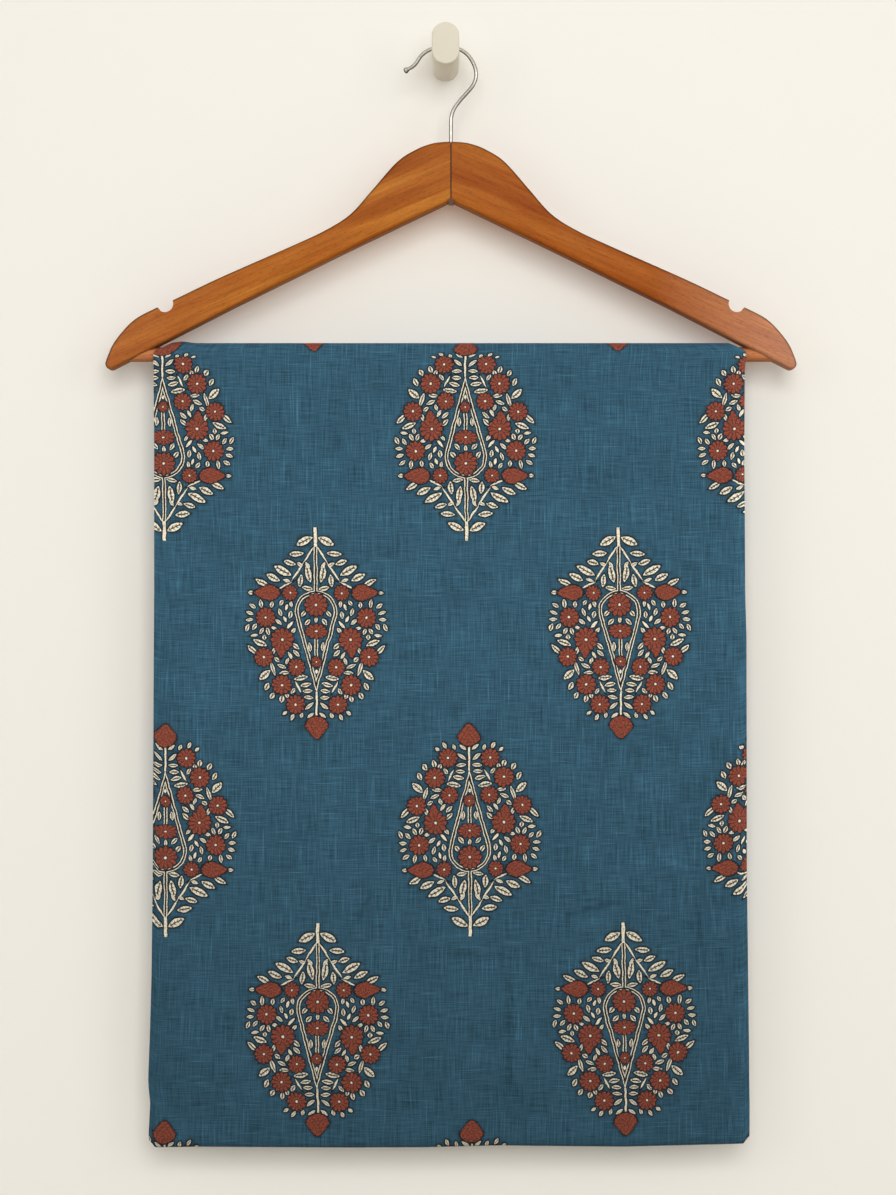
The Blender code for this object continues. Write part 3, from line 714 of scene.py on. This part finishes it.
# Dyed ground, key outline, cream, rust, the cream eyes, plain selvedge and stitching
colour = blue
for mask, ink in ((key, linear(KEY_DARK)), (cream_mask, linear(PRINT_CREAM)),
                  (rust_mask, linear(PRINT_RUST)), (eye, linear(PRINT_CREAM)),
                  (selvedge, blue), (stitch, linear("#5f8599"))):
    colour = add("Mix", {0: mask, 6: colour, 7: ink}, out=2, data_type="RGBA")

# The cloth is painted darker towards its middle, which hangs as the fold at the bottom:
# painted shade. Its pressed creases get painted shade in their troughs and painted highlights
# on their ridges
from_fold = add("Math", (flat_v, FOLD_LEVEL), "ADD")
from_fold = add("Math", (from_fold,), "ABSOLUTE")
painted_shading = add("MapRange", (from_fold, 0.0, 312.0, 0.70, 1.0))
creased_place = add("VectorMath", (waver, (6.0, 6.0, 0.0), flat_mm), "MULTIPLY_ADD")
for x0, z0, x1, z1, half_width, out in CREASES:
    dx, dz = x1 - x0, z1 - z0
    from_start = add("VectorMath", (creased_place, (x0, z0, 0.0)), "SUBTRACT")
    share = add("VectorMath",
                (from_start, (dx / (dx * dx + dz * dz), dz / (dx * dx + dz * dz), 0.0)),
                "DOT_PRODUCT", out="Value")
    share = add("Clamp", (share,))
    on_line = add("VectorMath", {0: (dx, dz, 0.0), "Scale": share}, "SCALE")
    from_line = add("VectorMath", (from_start, on_line), "DISTANCE", out="Value")
    # Painted shade along each trough and painted highlight along each ridge
    crease_painted_light = add("MapRange", (from_line, 0.7 * half_width, 0.0, 0.0, 0.5 * out),
               interpolation_type="SMOOTHSTEP")
    crease_painted_light = add("Math", (1.0, crease_painted_light), "ADD")
    painted_shading = add("Math", (painted_shading, crease_painted_light), "MULTIPLY")
# Painted shade in the last few mm by the fold, where the cloth turns under
fold_edge_painted_shade = add("MapRange", (from_fold, 1.0, 9.0, 0.72, 1.0))
painted_shading = add("Math", (painted_shading, fold_edge_painted_shade), "MULTIPLY")
# Painted highlight: the right side fold, the outer one, is painted a little paler along its
# edge
right_fold = (cloth_left + PANEL_WIDTH) / MM
from_fold = apart(flat_u, right_fold)
right_edge_painted_highlight = add("MapRange", (from_fold, 1.0, 8.0, 1.22, 1.0))
painted_shading = add("Math", (painted_shading, right_edge_painted_highlight), "MULTIPLY")
toned = add("Mix", {0: 1.0, 6: colour, 7: painted_shading}, out=2, data_type="RGBA",
            blend_type="MULTIPLY")

yarn_height = add("Math", (slub, 0.5, yarn), "MULTIPLY_ADD")
yarn_relief = add("Bump", {"Strength": 0.5, "Distance": 0.25 * MM, "Height": yarn_height})
fabric_shader = add("BsdfPrincipled", {
    "Base Color": toned, "Roughness": 0.9, "IOR": 1.45, "Specular IOR Level": 0.25,
    "Normal": yarn_relief})
add("OutputMaterial", {"Surface": fabric_shader})
cloth_mesh.materials.append(cotton)

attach(cloth, "root")
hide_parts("cloth")

# Hanger arms. Two flat arms of beech, sawn, their edges rounded over, sanded, stained and
# varnished, then glued together at the centre seam. The grain runs along each arm.

ARM_THICKNESS = 13.0 * MM
ARM_EDGE = 2.5 * MM                 # rounding of the long edges
CUT_EDGE = 0.5 * MM                 # easing of the sawn seam and of the strap notch
ARM_TOP_Z = -60.2 * MM
STRAP_NOTCH_OUT = 184.6 * MM
STRAP_NOTCH_Z = -165.1 * MM
STRAP_NOTCH_RADIUS = 5.4 * MM
BAR_HALF_LENGTH = 209.0 * MM
WIRE_RADIUS = 1.2 * MM
SHANK_DEPTH = 20.0 * MM
ARM_UPPER_EDGE = (
    # out from the seam, height in mm
    (-12, -60.2), (2, -60.2), (12, -61.3), (22.5, -65.2), (35, -73.4), (51, -91.5), (65, -107),
    (81, -117.3), (103, -127.6), (149, -147.9), (179, -162.2), (198, -171.2), (206, -176.4),
    (213, -183.7), (218.8, -191.8), (222.4, -200.2),
)
ARM_TIP = (219.8, -203.7, 3.5, 15.0, -117.0)    # centre, radius, from and to in degrees
ARM_LOWER_EDGE = (
    (209, -202.1), (182, -188.2), (141, -167.2), (70, -132.2), (-12, -92.6),
)


def smooth_through(points, count):
    """Catmull-Rom curve through points of any dimension."""
    curve = []
    last = len(points) - 1
    for i in range(last):
        near = (points[max(i - 1, 0)], points[i], points[i + 1], points[min(i + 2, last)])
        for k in range(count):
            t = k / count
            curve.append(tuple(
                0.5 * (2.0 * p1 + (p2 - p0) * t
                       + (2.0 * p0 - 5.0 * p1 + 4.0 * p2 - p3) * t * t
                       + (3.0 * p1 - p0 - 3.0 * p2 + p3) * t * t * t)
                for p0, p1, p2, p3 in zip(*near)))
    curve.append(points[-1])
    return curve


def settled(maker):
    """Turn a curve, or a mesh with modifiers, into a plain welded mesh object."""
    bpy.context.view_layer.update()
    ready = maker.evaluated_get(bpy.context.evaluated_depsgraph_get())
    work = bmesh.new()
    work.from_mesh(bpy.data.meshes.new_from_object(ready))
    bmesh.ops.transform(work, matrix=maker.matrix_world, verts=work.verts)
    bmesh.ops.remove_doubles(work, verts=work.verts, dist=0.01 * MM)
    bmesh.ops.recalc_face_normals(work, faces=work.faces)
    mesh = bpy.data.meshes.new(maker.name)
    work.to_mesh(mesh)
    work.free()
    name = maker.name
    bpy.data.objects.remove(maker, do_unlink=True)
    return put_in_scene(name, mesh)


def board(name, outline, y_front, y_back, edge):
    """Flat board from an X-Z outline, with its edges rounded over."""
    curve = bpy.data.curves.new(name, "CURVE")
    curve.dimensions = "2D"
    curve.fill_mode = "BOTH"
    curve.extrude = (y_back - y_front) / 2.0 - edge
    curve.bevel_depth = edge
    curve.bevel_resolution = 5
    curve.offset = -edge
    spline = curve.splines.new("POLY")
    spline.points.add(len(outline) - 1)
    for point, (x, z) in zip(spline.points, outline):
        point.co = (x, z, 0.0, 1.0)
    spline.use_cyclic_u = True
    maker = put_in_scene(name, curve)
    maker.location = (0.0, (y_front + y_back) / 2.0, 0.0)
    maker.rotation_euler = (math.radians(90.0), 0.0, 0.0)
    return settled(maker)


def cut_away(piece, cutters, easing):
    """Cut a piece with drills and saws, and ease the new edges."""
    for cutter in cutters:
        bite = piece.modifiers.new(cutter.name, "BOOLEAN")
        bite.operation = "DIFFERENCE"
        bite.solver = "EXACT"
        bite.object = cutter
    eased = piece.modifiers.new("eased_edges", "BEVEL")
    eased.width = easing
    eased.segments = 3
    eased.limit_method = "ANGLE"
    eased.angle_limit = math.radians(50.0)
    piece = settled(piece)
    for cutter in cutters:
        bpy.data.objects.remove(cutter, do_unlink=True)
    piece.data.shade_smooth()
    piece.data.set_sharp_from_angle(angle=math.radians(40.0))
    return piece


def drill(name, radius, length, centre, direction):
    """Round cutter along X, Y or Z."""
    work = bmesh.new()
    bmesh.ops.create_cone(work, cap_ends=True, segments=64, radius1=radius, radius2=radius,
                          depth=length)
    mesh = bpy.data.meshes.new(name)
    work.to_mesh(mesh)
    work.free()
    cutter = put_in_scene(name, mesh)
    quarter = math.radians(90.0)
    cutter.rotation_euler = {"X": (0.0, quarter, 0.0), "Y": (quarter, 0.0, 0.0),
                             "Z": (0.0, 0.0, 0.0)}[direction]
    cutter.location = centre
    return cutter


def wear(piece, material):
    """Give a piece one material in place of any it has."""
    piece.data.materials.clear()
    piece.data.materials.append(material)


ARM_SLOPE = 24.0                    # degrees that the grain climbs towards the seam


def varnished_beech(name, turn, pale, middle, deep, tip_sheen_colour):
    """Stained beech under satin varnish; turn lays the grain along a piece, in degrees."""
    material, add = new_material(name)
    spot = add("TexCoord", out="Object")
    along_grain = add("VectorRotate", {"Vector": spot, "Angle": math.radians(turn)},
                      rotation_type="Y_AXIS")
    # Growth rings cut lengthwise: wandering bands 5 to 12 mm wide
    band_place = add("VectorMath", (along_grain, (9.0, 60.0, 130.0)), "MULTIPLY")
    bands = add("TexNoise", {"Vector": band_place, "Scale": 1.0, "Detail": 3.0,
                                   "Roughness": 0.55, "Distortion": 0.3})
    # Fibres about 0.4 mm wide and 20 mm long, drawn twice as coarse to show
    fibre_place = add("VectorMath", (along_grain, (50.0, 700.0, 1250.0)), "MULTIPLY")
    fibre = add("TexNoise",
                {"Vector": fibre_place, "Scale": 1.0, "Detail": 3.0, "Roughness": 0.6})
    # Beech flecks: short dark ticks 1 to 3 mm long
    fleck_place = add("VectorMath", (along_grain, (330.0, 1200.0, 1500.0)), "MULTIPLY")
    fleck = add("TexNoise", {"Vector": fleck_place, "Scale": 1.0, "Detail": 1.0})
    fleck = add("MapRange", (fleck, 0.56, 0.70))
    ramp = add("ValToRGB", (bands,))
    stops = ramp.node.color_ramp.elements
    stops[0].position, stops[0].color = 0.30, linear(deep)
    stops[1].position, stops[1].color = 0.70, linear(pale)
    stops.new(0.48).color = linear(middle)
    shade = add("MapRange", (fibre, 0.30, 0.70, 0.84, 1.16))
    shade = add("Math", (fleck, -0.22, shade), "MULTIPLY_ADD")
    # The glue line at the seam is dark, where stain and dust have settled in it
    from_seam = add("SeparateXYZ", (spot,), out=0)
    from_seam = add("Math", (from_seam, SEAM_X), "SUBTRACT")
    from_seam = add("Math", (from_seam,), "ABSOLUTE")
    glue = add("MapRange", (from_seam, 0.35 * MM, 0.65 * MM, 0.20, 1.0))
    shade = add("Math", (shade, glue), "MULTIPLY")
    # Stain soaks in deeper on the rounded edges, and the upper ones are painted darker still:
    # painted shade
    facing = add("TexCoord", out="Normal")
    facing = add("SeparateXYZ", (facing,), out=1)
    upward = facing.node.outputs[2]
    facing = add("Math", (facing,), "ABSOLUTE")
    edge_stain_and_painted_shade = add("MapRange", (upward, -0.5, 0.3, 0.72, 0.40))
    rounded = add("MapRange", (facing, 0.95, 0.68, 1.0, edge_stain_and_painted_shade))
    shade = add("Math", (shade, rounded), "MULTIPLY")
    # Painted sheen: the colour is painted paler and pinker towards the tips
    tip_sheen = add("MapRange", (from_seam, 0.13, 0.23, 0.0, 0.55))
    ramp = add("Mix", {0: tip_sheen, 6: ramp, 7: linear(tip_sheen_colour)}, out=2, data_type="RGBA")
    colour = add("Mix", {0: 1.0, 6: ramp, 7: shade}, out=2, data_type="RGBA",
                 blend_type="MULTIPLY")
    relief = add("Bump", {"Strength": 0.25, "Distance": 0.08 * MM, "Height": fibre})
    gloss = add("MapRange", (fibre, 0.3, 0.7, 0.50, 0.40))
    coat = add("Math", (rounded, 4.0), "POWER")
    coat = add("Math", (coat, 0.16), "MULTIPLY")
    gloss = add("MapRange", (rounded, 0.5, 0.95, 0.8, gloss))
    wood = add("BsdfPrincipled", {
        "Base Color": colour, "Roughness": gloss, "IOR": 1.5, "Specular IOR Level": 0.10,
        "Normal": relief, "Coat Weight": coat, "Coat Roughness": 0.24, "Coat IOR": 1.45})
    add("OutputMaterial", {"Surface": wood})
    return material


# Painted light: the left arm's colours are lighter than the right arm's, and the right arm's
# pink tip colour is painted sheen
for name, side, stain_and_painted_light in (
        ("arm_left", -1.0, ("#b87228", "#a65c1b", "#944b10", "#a96238")),
        ("arm_right", 1.0, ("#ae6622", "#9e5212", "#8a4008", "#d49c82"))):
    tip_out, tip_height, tip_radius, tip_first, tip_last = ARM_TIP
    tip = []
    for k in range(25):
        angle = math.radians(tip_first + (tip_last - tip_first) * k / 24.0)
        tip.append((tip_out + tip_radius * math.cos(angle),
                    tip_height + tip_radius * math.sin(angle)))
    outline = [(SEAM_X + side * out * MM, height * MM) for out, height in
               smooth_through(ARM_UPPER_EDGE, 9) + tip + list(ARM_LOWER_EDGE)]
    arm = board("beech_" + name, outline, HANGER_Y - ARM_THICKNESS / 2.0,
                HANGER_Y + ARM_THICKNESS / 2.0, ARM_EDGE)
    saw = board(name + "_mitre_saw", [
        (SEAM_X + side * GAP / 2.0, -120.0 * MM), (SEAM_X - side * 30.0 * MM, -120.0 * MM),
        (SEAM_X - side * 30.0 * MM, -40.0 * MM), (SEAM_X + side * GAP / 2.0, -40.0 * MM)],
        HANGER_Y - ARM_THICKNESS, HANGER_Y + ARM_THICKNESS, 0.0)
    socket_end = SEAM_X + side * (BAR_HALF_LENGTH + GAP)
    arm = cut_away(arm, [
        saw,
        drill(name + "_shank_drill", WIRE_RADIUS + GAP, SHANK_DEPTH + 10.0 * MM,
              (SEAM_X, HANGER_Y, ARM_TOP_Z - SHANK_DEPTH / 2.0 + 5.0 * MM - GAP), "Z"),
        drill(name + "_bar_drill", BAR_RADIUS + GAP, 40.0 * MM,
              (socket_end - side * 20.0 * MM, HANGER_Y, BAR_Z), "X"),
        drill(name + "_strap_cutter", STRAP_NOTCH_RADIUS, 2.0 * ARM_THICKNESS,
              (SEAM_X + side * STRAP_NOTCH_OUT, HANGER_Y, STRAP_NOTCH_Z), "Y")], CUT_EDGE)
    wear(arm, varnished_beech("stained_beech_" + name, -side * ARM_SLOPE, *stain_and_painted_light))
    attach(arm, "root")
    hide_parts(name)

# Trouser bar. A turned beech dowel, stained redder than the arms, its ends glued in sockets.

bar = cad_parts["bar"]
wear(bar, varnished_beech("stained_beech_bar", 0.0, "#c67a4a", "#b66636", "#9e5428",
                          "#d89666"))

# Seam. The two arms are joined by a loose tongue; its dark glue line fills the eased seam,
# and the tongue's small end shows under the joint.

glue_brown, add = new_material("aged_hide_glue")
spot = add("TexCoord", out="Object")
# Glue dries in uneven beads about 1 mm long
beads = add("TexNoise", {"Vector": spot, "Scale": 900.0, "Detail": 2.0})
tone = add("Mix", {0: beads, 6: linear("#432a18"), 7: linear("#7a4c2c")}, out=2,
           data_type="RGBA")
relief = add("Bump", {"Strength": 0.4, "Distance": 0.1 * MM, "Height": beads})
dried = add("BsdfPrincipled",
            {"Base Color": tone, "Roughness": 0.55, "IOR": 1.5, "Normal": relief})
add("OutputMaterial", {"Surface": dried})

seam_line = board("seam_glue_line", [
    (SEAM_X - 0.36 * MM, -61.2 * MM), (SEAM_X - 0.36 * MM, -97.6 * MM),
    (SEAM_X + 0.36 * MM, -97.6 * MM), (SEAM_X + 0.36 * MM, -61.2 * MM)],
    HANGER_Y - ARM_THICKNESS / 2.0 + 0.08 * MM, HANGER_Y - ARM_THICKNESS / 2.0 + 0.6 * MM, 0.0)
tongue_end = board("joint_tongue_end", [
    (SEAM_X - 2.3 * MM, -97.7 * MM), (SEAM_X - 1.5 * MM, -100.2 * MM),
    (SEAM_X + 1.7 * MM, -100.4 * MM), (SEAM_X + 2.2 * MM, -97.9 * MM)],
    HANGER_Y - ARM_THICKNESS / 2.0 - 0.25 * MM, HANGER_Y + 3.0 * MM, 0.3 * MM)
for piece in (seam_line, tongue_end):
    wear(piece, glue_brown)
    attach(piece, "root")

# Hook. Round steel wire, drawn, bent cold and nickel-plated, with a small bead at its tip.
# Its shank is pressed into a hole at the seam.

HOOK_ROUTE = (
    # x, z, swell in mm: shank, reverse bend, bow over the peg, flared beaded tip
    (3.5, -80.2, 1), (3.5, -60, 1), (3.5, -48, 1), (3.9, -42.4, 1), (5.5, -38, 1),
    (9.1, -33, 1), (13.9, -27.6, 1), (17.5, -23.2, 1), (19.4, -19, 1), (19.8, -14.9, 1),
    (18.8, -10.4, 1), (16.5, -5.8, 1), (13.4, -2.2, 1), (9.4, 0.4, 1), (4.9, 1.7, 1),
    (0, 2, 1), (-4.9, 1.7, 1), (-9.3, 0.7, 1), (-12.8, -1.1, 1), (-15.6, -3.4, 1),
    (-17.5, -6, 1), (-19.3, -8.7, 1), (-21.4, -10.7, 1), (-23.7, -12, 1), (-24.8, -12.6, 1.35),
    (-25.6, -13.1, 1.6), (-26.5, -13.5, 1.3), (-26.9, -13.7, 0.4),
)
wire = bpy.data.curves.new("nickel_wire_hook", "CURVE")
wire.dimensions = "3D"
wire.bevel_depth = WIRE_RADIUS
wire.bevel_resolution = 6
wire.use_fill_caps = True
route = smooth_through(HOOK_ROUTE, 6)
spline = wire.splines.new("POLY")
spline.points.add(len(route) - 1)
for point, (x, z, swell) in zip(spline.points, route):
    point.co = (x * MM, HANGER_Y, z * MM, 1.0)
    point.radius = swell
hook = settled(put_in_scene("nickel_wire_hook", wire))
hook.data.shade_smooth()

nickel, add = new_material("nickel_plated_wire")
spot = add("TexCoord", out="Object")
# Nickel keeps faint drawing marks and a soft haze, about 0.3 and 3 mm across
marks = add("TexNoise", {"Vector": spot, "Scale": 3000.0, "Detail": 2.0})
haze = add("TexNoise", {"Vector": spot, "Scale": 330.0, "Detail": 2.0})
gloss = add("MapRange", (haze, 0.3, 0.7, 0.10, 0.18))
tone = add("Mix", {0: haze, 6: linear("#f2ede2"), 7: linear("#e2ddd2")}, out=2,
           data_type="RGBA")
# Painted reflection: the wire's front and back are kept bright and its flanks are painted dark
# brown
facing = add("TexCoord", out="Normal")
facing = add("SeparateXYZ", (facing,), out=1)
facing = add("Math", (facing,), "ABSOLUTE")
painted_dark_flanks = add("MapRange", (facing, 0.86, 0.62))
tone = add("Mix", {0: painted_dark_flanks, 6: tone, 7: linear("#463f38")}, out=2, data_type="RGBA")
relief = add("Bump", {"Strength": 0.05, "Distance": 0.02 * MM, "Height": marks})
plating = add("BsdfPrincipled",
              {"Base Color": tone, "Metallic": 1.0, "Roughness": gloss, "Normal": relief})
add("OutputMaterial", {"Surface": plating})
wear(hook, nickel)
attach(hook, "root")
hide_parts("hook")

# Wall peg. Moulded in cream plastic with a fine spark-eroded mould grain. A notch behind its
# lip keeps the hook in place.

PEG_WIDTH, PEG_HEIGHT, PEG_LENGTH = 17.7 * MM, 26.9 * MM, 50.0 * MM
PEG_LIP, PEG_ROOT = 8.0 * MM, 18.0 * MM     # full section kept at the front and the wall
PEG_EDGE = 1.0 * MM
SEAT_Z, SEAT_RADIUS = 0.5 * MM, 14.0 * MM   # saddle in the notch's floor

half_peg = PEG_WIDTH / 2.0
rise = PEG_HEIGHT / 2.0 - half_peg
pill = []
for centre_z, start in ((rise, 0.0), (-rise, 180.0)):
    for k in range(41):
        angle = math.radians(start + 180.0 * k / 40.0)
        pill.append((half_peg * math.cos(angle), centre_z + half_peg * math.sin(angle)))
peg = board("cream_wall_peg", pill, -PEG_LENGTH, 0.0, PEG_EDGE)
saddle_half = math.asin(11.0 * MM / SEAT_RADIUS)
saddle = []
for k in range(25):
    angle = saddle_half * (k / 12.0 - 1.0)
    saddle.append((SEAT_RADIUS * math.sin(angle),
                   SEAT_Z - SEAT_RADIUS * (1.0 - math.cos(angle))))
notch = board("peg_notch_cutter",
              [(-PEG_WIDTH, saddle[0][1])] + saddle
              + [(PEG_WIDTH, saddle[0][1]), (PEG_WIDTH, PEG_HEIGHT), (-PEG_WIDTH, PEG_HEIGHT)],
              -PEG_LENGTH + PEG_LIP, -PEG_ROOT, 0.0)
peg = cut_away(peg, [notch], 0.25 * MM)

plastic, add = new_material("moulded_cream_plastic")
spot = add("TexCoord", out="Object")
# Mould grain about 0.4 mm across, and a slight unevenness of tone over 20 mm
mould_grain = add("TexNoise", {"Vector": spot, "Scale": 2500.0, "Detail": 2.0})
cloudy = add("TexNoise", {"Vector": spot, "Scale": 50.0, "Detail": 2.0})
tone = add("Mix", {0: cloudy, 6: linear("#d7d0bd"), 7: linear("#ded7c5")}, out=2,
           data_type="RGBA")
gloss = add("MapRange", (mould_grain, 0.3, 0.7, 0.40, 0.50))
relief = add("Bump", {"Strength": 0.25, "Distance": 0.05 * MM, "Height": mould_grain})
skin = add("BsdfPrincipled", {
    "Base Color": tone, "Roughness": gloss, "IOR": 1.5, "Specular IOR Level": 0.3,
    "Normal": relief})
add("OutputMaterial", {"Surface": skin})
wear(peg, plastic)
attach(peg, "root")
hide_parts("peg")
